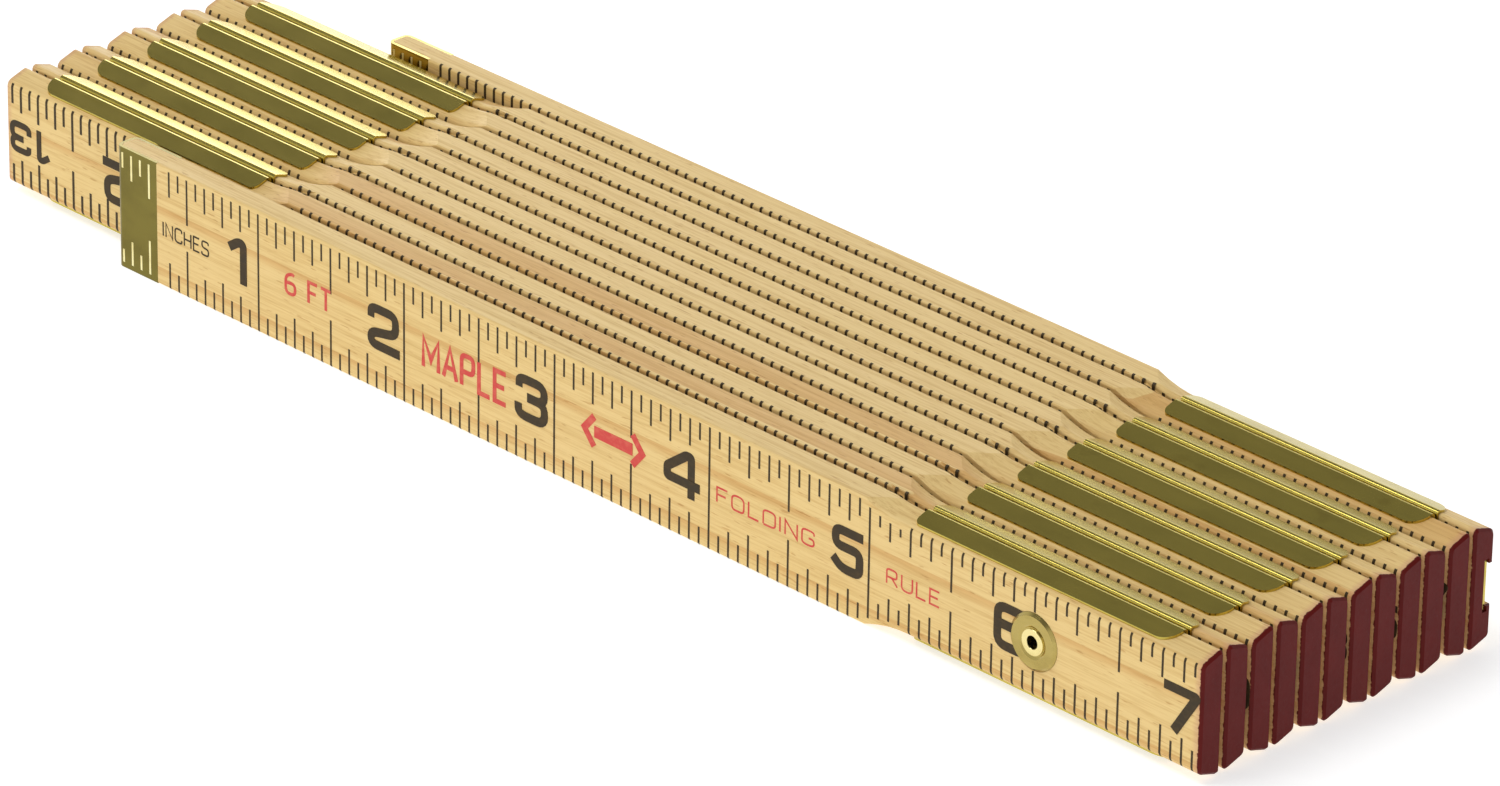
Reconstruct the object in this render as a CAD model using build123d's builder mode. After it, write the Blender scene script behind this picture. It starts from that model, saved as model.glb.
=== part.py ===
"""A six-foot zig-zag folding rule: twelve maple sticks on brass spring joints, and a brass extension slide.

The rule is folded and stands on its long narrow edges. X runs along the sticks, Y from the first stick to the
twelfth, Z up. The origin is below the middle of the folded bundle, on the surface that it stands on.
"""

import os
from math import atan, cos, sin

from build123d import *

INCH = 25.4

# Sticks
STICKS = 12
FOLD = 6 * INCH  # from a stick's left pivot to its right pivot
OVERHANG = 25.0  # wood past a pivot
WIDTH = 5 / 8 * INCH
THICKNESS = 3.3
GAP = 0.7  # between the faces of two folded sticks
PITCH = THICKNESS + GAP
EDGE_SOFTENING = 0.25
END_CHAMFER = 0.3

# Bevels that a joint plate's flanges grip, and the arc in which the cutter leaves the wood
BEVEL_START_DROP = 0.2
BEVEL_DROP = 1.05
BEVEL_TANGENT = BEVEL_DROP / THICKNESS
BEVEL_ANGLE = atan(BEVEL_TANGENT)
BEVEL_OUTER_ROUND = 0.9
BEVEL_CONTACT_ROUND = 0.5
CUTTER_RADIUS = 20.0
CUTTER_ARC = 30.0

# Joint plates: a web on the stick's inner face with a flange over each bevel
PLATE_HALF_LENGTH = 19.4
SHEET = 0.3
WEB_RECESS = 0.1
BEND_RADIUS = 0.35
BARE_BEVEL = 0.65  # bevel left bare at the outer face
FLANGE_OUTBOARD_ROUND = 2.3
FLANGE_INBOARD_ROUND = 1.0
BEARING_RADIUS = 5.0
BEARING_HEIGHT = 0.08
DETENT_REACH = 11.0
DETENT_RADIUS = 1.2
DETENT_HEIGHT = 0.14
DETENT_ROUND = 0.12
DETENT_HOLE_RADIUS = 1.5

# Hollow rivets and their washers
SHANK_RADIUS = 1.2
SHANK_BORE = 0.8
SHANK_CLEARANCE = 0.05
HEAD_RADIUS = 1.6
HEAD_ROUND = 0.09
WASHER_RADIUS = 3.5
WASHER_SEAT = 0.12
INNER_PROUD = 0.2  # washers that face another stick
OUTER_PROUD = 0.32  # the washer on the front of the bundle
DISH_DEPTH = 0.17
HEAD_PROUD = 0.03  # head above its washer's ring
HEAD_GAP = 0.05  # under the head that turns on the next stick's washer

# Extension slide and its track in the twelfth stick
TRACK_DEPTH = 1.5
TRACK_MOUTH = 5.4
TRACK_WIDTH = 6.6
TRACK_LIP = 0.75
SLIDE_WIDTH = 6.4
SLIDE_THICKNESS = 0.65
SLIDE_CLEARANCE = 0.05
SLIDE_END_GAP = 0.3
SUNK_SEAT = 0.3  # rivet and washer let into the floor of the track
SUNK_WASHER_RADIUS = 2.7
NAIL_NOTCH_PLACE = 4.0
NAIL_NOTCH_LENGTH = 4.6
NAIL_NOTCH_WIDTH = 1.2
NAIL_NOTCH_DEPTH = 0.25

# Brass tips on the two free ends
TIP_SHEET = 0.4
TIP_FRONT = 7.3
TIP_BACK = 8.3
TIP_BEND = 0.7
TIP_WOOD_ROUND = 0.6

BUNDLE_DEPTH = (STICKS - 1) * PITCH + THICKNESS
FRONT_REACH = OUTER_PROUD + HEAD_PROUD  # from the front stick's wood to its rivet head
LEFT_PIVOT = -FOLD / 2
RIGHT_PIVOT = FOLD / 2
END_REACH = FOLD / 2 + OVERHANG
FIRST_FACE = (FRONT_REACH - BUNDLE_DEPTH) / 2


def front_face(stick):
    """Y of a stick's front face."""
    return FIRST_FACE + (stick - 1) * PITCH


def back_face(stick):
    """Y of a stick's back face."""
    return front_face(stick) + THICKNESS


def joint_pivot(joint):
    """X of a joint's pivot: odd joints are at the right end, even joints at the left."""
    return RIGHT_PIVOT if joint % 2 else LEFT_PIVOT


def stick_joints(stick):
    """The joints that a stick is part of, each with the side of the stick that it lies on: 1 back, -1 front."""
    pairs = [(stick - 1, -1), (stick, 1)]
    return [(joint, side) for joint, side in pairs if 1 <= joint < STICKS]


def contact_face(stick, side):
    """Y of the face that lies against a joint."""
    return back_face(stick) if side > 0 else front_face(stick)


def outer_face(stick, side):
    """Y of the face away from a joint."""
    return contact_face(stick, -side)


def save(node, name):
    """Labels a finished piece and writes its STEP file."""
    node.label = name
    export_step(node, f"parts/{name}.step")


def bevel_tool_section(stick, side, start):
    """Section of what the cutter takes off above a bevel, in the plane across the stick at start."""
    contact = contact_face(stick, side)
    outer = outer_face(stick, side)
    contact_top = WIDTH - BEVEL_START_DROP
    outer_top = contact_top - BEVEL_DROP
    contact_low = contact_top - 2 * BEVEL_CONTACT_ROUND
    outer_low = outer_top - BEVEL_OUTER_ROUND
    with BuildSketch(Plane.YZ.offset(start)) as section:
        with BuildLine():
            FilletPolyline(
                (outer, outer_low),
                (outer, outer_top),
                (contact, contact_top),
                (contact, contact_low),
                radius=[BEVEL_OUTER_ROUND, BEVEL_CONTACT_ROUND],
            )
            Polyline(
                (contact, contact_low),
                (contact + side, contact_low),
                (contact + side, WIDTH + 1),
                (outer - side, WIDTH + 1),
                (outer - side, outer_low),
                (outer, outer_low),
            )
        make_face()
    return section.sketch


def bevel_tool(stick, joint, side):
    """Solid that cuts the upper bevel of one stick end: a straight cut, then an arc out of the wood."""
    pivot = joint_pivot(joint)
    outboard = 1 if pivot > 0 else -1
    start = pivot - outboard * PLATE_HALF_LENGTH
    contact = contact_face(stick, side)
    lift = Vector(0, -side * sin(BEVEL_ANGLE), cos(BEVEL_ANGLE)) * CUTTER_RADIUS
    centre = Vector(start, contact, WIDTH - BEVEL_START_DROP) + lift
    across = Vector(0, cos(BEVEL_ANGLE), side * sin(BEVEL_ANGLE)) * outboard
    section = bevel_tool_section(stick, side, start)
    with BuildPart() as tool:
        extrude(section, amount=outboard * (OVERHANG + PLATE_HALF_LENGTH + 1))
        revolve(section, axis=Axis(centre, across), revolution_arc=CUTTER_ARC)
    return tool.part


def bevel_stick(stick):
    """Cuts a stick's bevels, above and below, at each of its joints."""
    mirror_plane = Plane.XY.offset(WIDTH / 2)
    for joint, side in stick_joints(stick):
        tool = bevel_tool(stick, joint, side)
        add(tool, mode=Mode.SUBTRACT)
        add(tool.mirror(mirror_plane), mode=Mode.SUBTRACT)


def rivet_plane(joint, y, side):
    """Plane at a joint's pivot, facing the way that side says."""
    return Plane(origin=(joint_pivot(joint), y, WIDTH / 2), x_dir=(side, 0, 0), z_dir=(0, side, 0))


def cut_disc(joint, y, side, radius, depth):
    """Sinks a round recess of one depth into a face that looks the way side says."""
    with BuildSketch(rivet_plane(joint, y, side)) as disc:
        Circle(radius)
    extrude(disc.sketch, amount=-depth, mode=Mode.SUBTRACT)


def washer_place(stick, side):
    """Where a washer sits: Y of its wood, the side of the stick's joint, its radius and how proud it stands."""
    if stick == STICKS:
        return back_face(stick) - TRACK_DEPTH - SUNK_SEAT, side, SUNK_WASHER_RADIUS, INNER_PROUD
    proud = OUTER_PROUD if stick == 1 else INNER_PROUD
    return outer_face(stick, side), side, WASHER_RADIUS, proud


def cut_track(stick):
    """Cuts the slide's T-shaped track from end to end."""
    back = back_face(stick)
    lip = back - TRACK_LIP
    floor = back - TRACK_DEPTH
    middle = WIDTH / 2
    with BuildSketch(Plane.YZ.offset(-END_REACH - 1)) as track:
        with Locations(((back + 1 + lip) / 2, middle)):
            Rectangle(back + 1 - lip, TRACK_MOUTH)
        with Locations(((lip + floor) / 2, middle)):
            Rectangle(lip - floor, TRACK_WIDTH)
    extrude(track.sketch, amount=2 * END_REACH + 2, mode=Mode.SUBTRACT)


def cut_tip_rebate(stick):
    """Cuts the free end down to take the brass tip, flush on both faces."""
    with BuildSketch(Plane.XY) as rebate:
        for face, reach, inward in ((front_face(stick), TIP_FRONT, 1), (back_face(stick), TIP_BACK, -1)):
            with Locations((LEFT_PIVOT + reach / 2, face + inward * (TIP_SHEET / 2 - 1))):
                Rectangle(reach, TIP_SHEET + 2)
    extrude(rebate.sketch, amount=WIDTH, mode=Mode.SUBTRACT)


def make_stick(stick):
    """One maple stick, with its bevels, plate recesses, rivet holes and washer seats."""
    first = stick in (1, STICKS)
    left = LEFT_PIVOT + TIP_SHEET if first else -END_REACH
    with BuildPart() as wood:
        with BuildSketch(Plane.YZ.offset(left)) as section:
            with Locations(((front_face(stick) + back_face(stick)) / 2, WIDTH / 2)):
                Rectangle(THICKNESS, WIDTH)
            fillet(section.vertices(), EDGE_SOFTENING)
        extrude(amount=END_REACH - left)
        bevel_stick(stick)
        chamfer(wood.faces().sort_by(Axis.X)[-1].edges(), END_CHAMFER)
        if first:
            cut_tip_rebate(stick)
            fillet(wood.faces().sort_by(Axis.X)[0].edges().filter_by(Axis.Z), TIP_WOOD_ROUND)
        else:
            chamfer(wood.faces().sort_by(Axis.X)[0].edges(), END_CHAMFER)
        if stick == STICKS:
            cut_track(stick)
        for joint, side in stick_joints(stick):
            with BuildSketch(rivet_plane(joint, contact_face(stick, side), side)):
                Rectangle(2 * PLATE_HALF_LENGTH + 0.2, WIDTH + 2)
            extrude(amount=-WEB_RECESS, mode=Mode.SUBTRACT)
            seat, _, radius, _ = washer_place(stick, side)
            if stick == STICKS:
                cut_disc(joint, back_face(stick) - TRACK_DEPTH, -side, radius + 0.1, SUNK_SEAT)
            cut_disc(joint, seat, -side, radius + 0.05, WASHER_SEAT)
            cut_disc(joint, contact_face(stick, side), side, SHANK_RADIUS + SHANK_CLEARANCE, THICKNESS)
    save(wood.part, f"stick_{stick:02d}")


def plate_outline(contact, outer, side):
    """Middle line of a plate's section: flange, web and flange, in the plane across the stick."""
    web = contact + side * (SHEET / 2 - WEB_RECESS)
    crest = WIDTH - BEVEL_START_DROP + SHEET / 2 / cos(BEVEL_ANGLE)
    lip = outer + side * BARE_BEVEL
    bend_height = crest + side * (web - contact) * BEVEL_TANGENT
    lip_height = crest + side * (lip - contact) * BEVEL_TANGENT
    return [(lip, lip_height), (web, bend_height), (web, WIDTH - bend_height), (lip, WIDTH - lip_height)]


def make_plate(joint, stick, side):
    """One spring plate: it grips a stick's bevels and carries a bearing disc and a pair of detents."""
    pivot = joint_pivot(joint)
    outboard = 1 if pivot > 0 else -1
    outboard_end = pivot + outboard * PLATE_HALF_LENGTH
    inboard_end = pivot - outboard * PLATE_HALF_LENGTH
    contact = contact_face(stick, side)
    outer = outer_face(stick, side)
    lip = outer + side * BARE_BEVEL
    beyond = contact + side
    bearing = rivet_plane(joint, contact + side * (SHEET - WEB_RECESS), side)
    with BuildPart() as plate:
        with BuildSketch(Plane.YZ.offset(pivot - PLATE_HALF_LENGTH)):
            with BuildLine():
                FilletPolyline(*plate_outline(contact, outer, side), radius=BEND_RADIUS)
            trace(line_width=SHEET)
        extrude(amount=2 * PLATE_HALF_LENGTH)
        with BuildSketch(Plane.XY.offset(-1)):
            with BuildLine():
                corners = [(inboard_end, beyond), (inboard_end, lip), (outboard_end, lip), (outboard_end, beyond)]
                FilletPolyline(*corners, radius=[FLANGE_INBOARD_ROUND, FLANGE_OUTBOARD_ROUND])
                Line(corners[-1], corners[0])
            make_face()
        extrude(amount=WIDTH + 2, mode=Mode.INTERSECT)
        with BuildSketch(bearing):
            Circle(BEARING_RADIUS)
        extrude(amount=BEARING_HEIGHT)
        with BuildSketch(bearing):
            with Locations((DETENT_REACH, 0), (-DETENT_REACH, 0)):
                Circle(DETENT_RADIUS if side > 0 else DETENT_HOLE_RADIUS)
        if side > 0:
            extrude(amount=DETENT_HEIGHT)
            tops = plate.edges().filter_by(GeomType.CIRCLE).group_by(Axis.Y)[-1]
            fillet(tops, DETENT_ROUND)
        else:
            extrude(amount=-SHEET, mode=Mode.SUBTRACT)
        with BuildSketch(bearing):
            Circle(SHANK_RADIUS + SHANK_CLEARANCE)
        extrude(amount=1, both=True, mode=Mode.SUBTRACT)
    save(plate.part, f"joint_{joint:02d}_plate_{'front' if side > 0 else 'back'}")


def washer_section(seat, side, radius, proud):
    """Half section of a dished washer, in the plane through the pivot: X is the radius, Y runs along the rivet."""
    bore = SHANK_RADIUS + SHANK_CLEARANCE
    dish = proud - DISH_DEPTH
    half = [
        (bore, -WASHER_SEAT),
        (radius, -WASHER_SEAT),
        (radius, 0.0),
        (radius - 0.35, proud),
        (HEAD_RADIUS + 0.45, proud),
        (HEAD_RADIUS + 0.15, dish),
        (bore, dish),
    ]
    return [(x, seat - side * y) for x, y in half]


def make_washers(stick):
    """The dished washers let into one stick, one under each rivet head."""
    with BuildPart() as washers:
        for joint, side in stick_joints(stick):
            pivot = joint_pivot(joint)
            middle = Plane(origin=(pivot, 0, WIDTH / 2), x_dir=(1, 0, 0), z_dir=(0, 0, 1))
            with BuildSketch(middle):
                with BuildLine():
                    Polyline(*washer_section(*washer_place(stick, side)), close=True)
                make_face()
            revolve(axis=Axis((pivot, 0, WIDTH / 2), (0, 1, 0)))
    save(washers.part, f"stick_{stick:02d}_washers")


def make_rivet(joint):
    """A hollow rivet through two sticks, with a rolled head in the dish of each washer."""
    pivot = joint_pivot(joint)
    front_seat, _, _, front_proud = washer_place(joint, 1)
    back_seat, _, _, back_proud = washer_place(joint + 1, -1)
    front_under = front_seat - (front_proud - DISH_DEPTH)
    back_under = back_seat + (back_proud - DISH_DEPTH) + HEAD_GAP
    front_top = front_seat - front_proud - HEAD_PROUD
    back_top = back_seat + back_proud + HEAD_PROUD
    with BuildPart() as rivet:
        with BuildSketch(Plane(origin=(pivot, 0, WIDTH / 2), x_dir=(1, 0, 0), z_dir=(0, 0, 1))) as section:
            with BuildLine():
                Polyline(
                    (SHANK_BORE, front_top),
                    (HEAD_RADIUS, front_top),
                    (HEAD_RADIUS, front_under),
                    (SHANK_RADIUS, front_under),
                    (SHANK_RADIUS, back_under),
                    (HEAD_RADIUS, back_under),
                    (HEAD_RADIUS, back_top),
                    (SHANK_BORE, back_top),
                    close=True,
                )
            make_face()
            rims = section.vertices().group_by(Axis.Y)
            fillet(rims[0] + rims[-1], HEAD_ROUND)
        revolve(axis=Axis((pivot, 0, WIDTH / 2), (0, 1, 0)))
    save(rivet.part, f"joint_{joint:02d}_rivet")


def make_tip(stick):
    """The brass tip that caps a free end: a front plate, the end and a back plate, folded from one strip."""
    front = front_face(stick) + TIP_SHEET / 2
    back = back_face(stick) - TIP_SHEET / 2
    end = LEFT_PIVOT + TIP_SHEET / 2
    with BuildPart() as tip:
        with BuildSketch(Plane.XY):
            with BuildLine():
                FilletPolyline(
                    (LEFT_PIVOT + TIP_FRONT, front),
                    (end, front),
                    (end, back),
                    (LEFT_PIVOT + TIP_BACK, back),
                    radius=TIP_BEND,
                )
            trace(line_width=TIP_SHEET)
        extrude(amount=WIDTH)
        if stick == STICKS:
            cut_track(stick)
    save(tip.part, "zero_end_tip" if stick == 1 else "slide_end_tip")


def make_slide(stick):
    """The extension slide: a flat brass strip, held by the lips of its track, with a notch for a fingernail."""
    outer = back_face(stick) - TRACK_LIP - SLIDE_CLEARANCE
    middle = WIDTH / 2
    with BuildPart() as slide:
        with BuildSketch(Plane.YZ.offset(LEFT_PIVOT)):
            with Locations((outer - SLIDE_THICKNESS / 2, middle)):
                Rectangle(SLIDE_THICKNESS, SLIDE_WIDTH)
        extrude(amount=END_REACH - SLIDE_END_GAP - LEFT_PIVOT)
        with BuildSketch(Plane(origin=(LEFT_PIVOT, outer, middle), x_dir=(1, 0, 0), z_dir=(0, 1, 0))):
            with Locations((NAIL_NOTCH_PLACE, 0)):
                SlotOverall(NAIL_NOTCH_LENGTH, NAIL_NOTCH_WIDTH, rotation=90)
        extrude(amount=-NAIL_NOTCH_DEPTH, mode=Mode.SUBTRACT)
    save(slide.part, "extension_slide")


os.makedirs("parts", exist_ok=True)
for number in range(1, STICKS + 1):
    make_stick(number)
    make_washers(number)
for number in range(1, STICKS):
    make_plate(number, number, 1)
    make_plate(number, number + 1, -1)
    make_rivet(number)
make_tip(1)
make_tip(STICKS)
make_slide(STICKS)
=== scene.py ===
"""Looks of a six-foot zig-zag folding rule: maple sticks, brass joints, printed scales and a small studio.

Everything is in metres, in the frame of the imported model. X runs along the folded sticks, Y from the first
stick to the twelfth, and Z up.
"""

import logging
import math
from dataclasses import dataclass
from enum import Enum

import bpy
import numpy as np
from mathutils import Matrix, Vector


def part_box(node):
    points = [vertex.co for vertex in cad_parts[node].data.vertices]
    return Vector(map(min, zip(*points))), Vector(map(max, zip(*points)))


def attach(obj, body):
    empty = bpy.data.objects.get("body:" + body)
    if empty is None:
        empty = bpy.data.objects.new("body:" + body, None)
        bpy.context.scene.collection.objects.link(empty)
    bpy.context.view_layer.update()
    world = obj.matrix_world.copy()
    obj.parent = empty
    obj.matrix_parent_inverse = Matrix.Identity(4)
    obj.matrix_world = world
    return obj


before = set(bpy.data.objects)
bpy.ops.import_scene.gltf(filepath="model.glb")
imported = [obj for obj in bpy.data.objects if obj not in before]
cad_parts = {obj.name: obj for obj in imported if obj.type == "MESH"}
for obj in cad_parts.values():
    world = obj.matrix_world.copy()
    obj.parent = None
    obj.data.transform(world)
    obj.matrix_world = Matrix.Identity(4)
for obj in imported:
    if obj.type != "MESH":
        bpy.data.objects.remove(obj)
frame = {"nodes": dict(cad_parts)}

LOG = logging.getLogger("folding_rule")

MM = 0.001
INCH = 0.0254
SIXTEENTHS = 16
FOLD = 6 * INCH  # from a stick's left pivot to its right pivot
FINE_PROUD = 0.012 * MM  # height of the marks on brass
FINE_LIFT = 0.003 * MM  # between the strokes of fine lettering, so that they don't share one plane


# ---------------------------------------------------------------------------------------------------------
# Meshes
# ---------------------------------------------------------------------------------------------------------


class Side(Enum):
    """The two printed faces of a stick: its outward direction along Y."""

    FRONT = -1
    BACK = 1


@dataclass(frozen=True)
class PrintFace:
    """A flat face that marks are printed on.

    Its own coordinates are u along the reading direction, v up the lettering, and h out of the face.
    """

    origin: tuple[float, float, float]
    reads: int
    outward: int

    def to_space(self, points: np.ndarray) -> np.ndarray:
        """Carries points from the face to the model's frame.

        A point is the origin plus u along the reading direction, plus v along the up direction, plus h
        outwards. Reading runs along +X or -X. Up is outward crossed with reading, which is +Z or -Z.

        Args:
            points: array whose last axis is (u, v, h), in metres.

        Returns:
            An array of the same shape holding (x, y, z).
        """
        reading = np.array([self.reads, 0.0, 0.0])
        out = np.array([0.0, self.outward, 0.0])
        up = np.cross(out, reading)
        return np.array(self.origin) + points @ np.stack([reading, up, out])


def bars_from_edges(
    left: np.ndarray, right: np.ndarray, normal: np.ndarray, proud: float, sunk: float
) -> tuple[np.ndarray, np.ndarray]:
    """Closed bars of rectangular section between two edge lines.

    Each cross-section has four corners: both edge points moved inwards by sunk along the normal, and both
    moved outwards by proud. Neighbouring sections are joined by four quads, and the first and last are
    capped.

    Args:
        left: (bars, points, 3) left edge lines.
        right: (bars, points, 3) right edge lines.
        normal: (bars, points, 3) unit normals.
        proud: height above the lines, metres.
        sunk: depth below the lines, metres.

    Returns:
        Vertices (n, 3) and quads (m, 4).
    """
    count, points = left.shape[:2]
    low, high = -sunk * normal, proud * normal
    corners = np.stack([left + low, right + low, right + high, left + high], axis=2)
    base = (np.arange(count) * points * 4)[:, None, None]
    run = (np.arange(points - 1) * 4)[None, :, None]
    turn = np.arange(4)[None, None, :]
    near = base + run + turn
    near_next = base + run + (turn + 1) % 4
    walls = np.stack([near, near + 4, near_next + 4, near_next], axis=-1).reshape(-1, 4)
    start = (base[:, :, 0] + np.arange(4)[None, :]).reshape(-1, 4)
    end = (base[:, :, 0] + (points - 1) * 4 + np.arange(4)[None, ::-1]).reshape(-1, 4)
    return corners.reshape(-1, 3), np.concatenate([walls, start, end])


HALF_RUN = 0.499  # most of a run that one corner's rounding may take
SHARPEST_MITRE = 0.35  # least divisor of a mitre, which keeps a sharp turn from growing a spike


def rounded_line(corners: np.ndarray, radius: float, steps: int = 6) -> np.ndarray:
    """Rounds the corners of an open line.

    Each inner corner is replaced by a quadratic curve from a point before it to a point after it, each at the
    given radius from the corner, or half the shorter run where that is less.

    Args:
        corners: (n, 2) corner points.
        radius: distance from a corner to where its rounding starts.
        steps: points on each rounding.

    Returns:
        (m, 2) points along the rounded line.
    """
    if len(corners) < 3 or radius <= 0:
        return corners
    before, middle, after = corners[:-2], corners[1:-1], corners[2:]
    into, out = before - middle, after - middle
    into_length = np.linalg.norm(into, axis=1, keepdims=True)
    out_length = np.linalg.norm(out, axis=1, keepdims=True)
    start = middle + into / into_length * np.minimum(radius, HALF_RUN * into_length)
    finish = middle + out / out_length * np.minimum(radius, HALF_RUN * out_length)
    t = np.linspace(0.0, 1.0, steps)[None, :, None]
    curve = (1 - t) ** 2 * start[:, None] + 2 * t * (1 - t) * middle[:, None] + t**2 * finish[:, None]
    return np.concatenate([corners[:1], curve.reshape(-1, 2), corners[-1:]])


def stroke_edges(line: np.ndarray, half_width: float) -> tuple[np.ndarray, np.ndarray]:
    """The two edges of a stroke of constant width along a flat line.

    At a point where two runs meet, the edges stand off along the mitre: the sum of the two runs' normals
    over one plus their dot product.

    Args:
        line: (n, 2) centre line.
        half_width: half of the stroke's width.

    Returns:
        The left and right edges, each (n, 2).
    """
    runs = np.diff(line, axis=0)
    runs /= np.linalg.norm(runs, axis=1, keepdims=True)
    normals = np.stack([-runs[:, 1], runs[:, 0]], axis=1)
    first = np.concatenate([normals[:1], normals])
    second = np.concatenate([normals, normals[-1:]])
    agreement = np.maximum(1 + np.sum(first * second, axis=1, keepdims=True), SHARPEST_MITRE)
    offset = (first + second) / agreement * half_width
    return line + offset, line - offset


@dataclass
class MarkSheet:
    """Collects printed marks for one object and makes their mesh.

    Marks stand proud of their face and reach a little below it. A stroke rises along its length by a share
    of its width.
    """

    name: str
    proud: float = 0.018 * MM
    sunk: float = 0.06 * MM
    rise: float = 0.04

    def __post_init__(self) -> None:
        """Starts with no marks."""
        self.vertices: list[np.ndarray] = []
        self.faces: list[np.ndarray] = []
        self.count = 0

    def take(self, vertices: np.ndarray, faces: np.ndarray) -> None:
        """Adds some marks.

        Args:
            vertices: (n, 3) vertices.
            faces: (m, 4) quads between them, counted from the first of these vertices.
        """
        self.vertices.append(vertices)
        self.faces.append(faces + self.count)
        self.count += len(vertices)

    def add_stroke(self, face: PrintFace, line: np.ndarray, width: float, lift: float = 0.0) -> None:
        """Prints one stroke.

        It rises slightly from its start to its end, by a share of its width, so that it can cross itself.

        Args:
            face: the face to print on.
            line: (n, 2) centre line in the face's u and v, metres.
            width: stroke width, metres.
            lift: extra height, which keeps crossing strokes from sharing one plane.
        """
        left, right = stroke_edges(line, width / 2)
        flat = np.linspace(0.0, self.rise * width, len(line))[None, :, None]
        out = np.zeros((1, len(line), 3))
        out[..., 2] = 1.0
        edges = [np.concatenate([edge[None], flat], axis=2) for edge in (left, right)]
        vertices, faces = bars_from_edges(edges[0], edges[1], out, self.proud + lift, self.sunk)
        self.take(face.to_space(vertices), faces)

    def add_ticks(
        self, face: PrintFace, u: np.ndarray, profile: np.ndarray, normal: np.ndarray, width: float
    ) -> None:
        """Prints a row of ticks, each a bar that follows its own line up the face and over the edge.

        Args:
            face: the face to print on.
            u: (n,) centres of the ticks.
            profile: (n, k, 2) lines of v and h.
            normal: (n, k, 2) unit normals, as v and h.
            width: tick width, metres.
        """
        if not len(u):
            return
        across = np.broadcast_to(u[:, None, None], profile.shape[:2] + (1,))
        left = np.concatenate([across - width / 2, profile], axis=2)
        right = np.concatenate([across + width / 2, profile], axis=2)
        out = np.concatenate([np.zeros_like(across), normal], axis=2)
        vertices, faces = bars_from_edges(left, right, out, self.proud, self.sunk)
        self.take(face.to_space(vertices), faces)

    def make(self, body: str, material: bpy.types.Material) -> bpy.types.Object:
        """Builds the object, turns its faces outwards, dresses it and lets it ride on a body.

        Six times the enclosed volume is the sum of the triple products of the corners of the two triangles in
        each quad. Where it is negative, every quad is turned over.

        Args:
            body: the body that the object rides on.
            material: the object's material.

        Returns:
            The new object.
        """
        vertices = np.concatenate(self.vertices)
        faces = np.concatenate(self.faces)
        mesh = bpy.data.meshes.new(self.name)
        corner = vertices[faces]
        volume = np.sum(np.cross(corner[:, 0], corner[:, 1]) * corner[:, 2])
        volume += np.sum(np.cross(corner[:, 0], corner[:, 2]) * corner[:, 3])
        if volume < 0:
            faces = faces[:, ::-1]
        mesh.from_pydata(vertices.tolist(), [], faces.tolist())
        mesh.materials.append(material)
        mesh.validate()
        piece = bpy.data.objects.new(self.name, mesh)
        bpy.context.scene.collection.objects.link(piece)
        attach(piece, body)
        LOG.info("%s: %d faces on %s", self.name, len(faces), body)
        return piece


# ---------------------------------------------------------------------------------------------------------
# Lettering
# ---------------------------------------------------------------------------------------------------------

# Bold numerals as stroke centre lines, in millimetres on a field 5.5 wide and 6.86 high, with the radius of
# their corners, the width that each takes up and the gap from it to its inch line.
BOLD_FIELD = 6.86
BOLD = {
    "0": (
        [[(2.75, 0.64), (0.64, 0.64), (0.64, 6.22), (4.86, 6.22), (4.86, 0.64), (2.7, 0.64)]],
        1.6,
        5.5,
        0.7,
    ),
    "1": ([[(0.45, 5.0), (2.05, 6.28), (2.97, 6.28), (2.97, 0.0)]], 0.55, 3.6, 2.0),
    "2": (
        [[(0.66, 4.62), (0.66, 6.22), (4.86, 6.22), (4.92, 3.3), (0.66, 2.4), (0.66, 0.66), (5.6, 0.66)]],
        1.15,
        5.6,
        0.75,
    ),
    "3": (
        [
            [(0.72, 4.75), (0.72, 6.22), (4.92, 6.22), (4.92, 3.62), (2.1, 3.62)],
            [(2.9, 3.62), (4.98, 3.5), (4.98, 0.64), (0.64, 0.64), (0.6, 2.3)],
        ],
        1.35,
        5.65,
        0.95,
    ),
    "4": ([[(4.5, 0.0), (4.5, 6.22), (3.7, 6.22), (0.62, 3.5), (0.62, 2.1), (5.9, 2.1)]], 0.3, 5.9, 1.5),
    "5": (
        [[(5.0, 6.2), (0.68, 6.2), (0.68, 3.85), (4.5, 3.85), (4.5, 0.64), (1.6, 0.64), (0.35, 1.9)]],
        1.0,
        5.15,
        0.8,
    ),
    "6": (
        [[(4.86, 4.9), (4.86, 6.22), (0.66, 6.22), (0.66, 0.64), (4.86, 0.64), (4.86, 3.7), (0.9, 3.7)]],
        1.3,
        5.5,
        0.7,
    ),
    "7": ([[(0.05, 6.22), (4.95, 6.22), (1.75, 0.1)]], 0.35, 5.5, 0.6),
    "8": (
        [
            [(2.75, 3.6), (0.9, 3.6), (0.9, 6.22), (4.6, 6.22), (4.6, 3.6), (2.7, 3.6)],
            [(2.75, 3.5), (0.64, 3.5), (0.64, 0.64), (4.86, 0.64), (4.86, 3.5), (2.7, 3.5)],
        ],
        1.3,
        5.5,
        0.7,
    ),
    "9": (
        [[(0.64, 1.96), (0.64, 0.64), (4.84, 0.64), (4.84, 6.22), (0.64, 6.22), (0.64, 3.16), (4.6, 3.16)]],
        1.3,
        5.5,
        0.7,
    ),
}

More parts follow.
